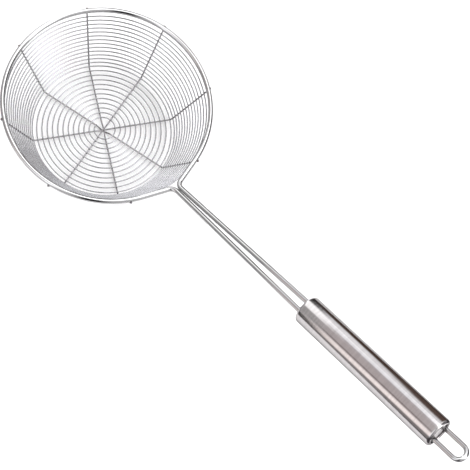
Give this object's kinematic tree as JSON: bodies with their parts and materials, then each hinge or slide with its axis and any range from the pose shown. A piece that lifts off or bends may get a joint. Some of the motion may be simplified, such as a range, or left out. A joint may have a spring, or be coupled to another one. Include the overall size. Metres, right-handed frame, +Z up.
{
  "type": "spider skimmer",
  "caption": "Wire spider skimmer: a round basket wound in a spiral on crossed ribs, a bent rim wire that runs on as the shaft, and a tubular handle with a hanging loop.",
  "frame": {"origin": "centre of the rim circle, on the plane of the rim wire's centreline", "axes": "+Z up out of the basket's mouth, +X towards the handle, +Y to the left of the handle's direction"},
  "size_m": [0.4023, 0.15, 0.1554],
  "materials": {
    "polished_wire": "polished stainless steel wire",
    "brushed_handle": "finely brushed stainless steel"
  },
  "bodies": {
    "root": {"rim_and_shaft_wire": "polished_wire", "basket_rib_1": "polished_wire", "basket_rib_2": "polished_wire", "basket_rib_3": "polished_wire", "basket_rib_4": "polished_wire", "basket_spiral": "polished_wire", "handle_tube": "brushed_handle", "handle_front_disc": "brushed_handle", "handle_end_disc": "brushed_handle", "hanging_loop": "polished_wire"}
  },
  "joints": []
}
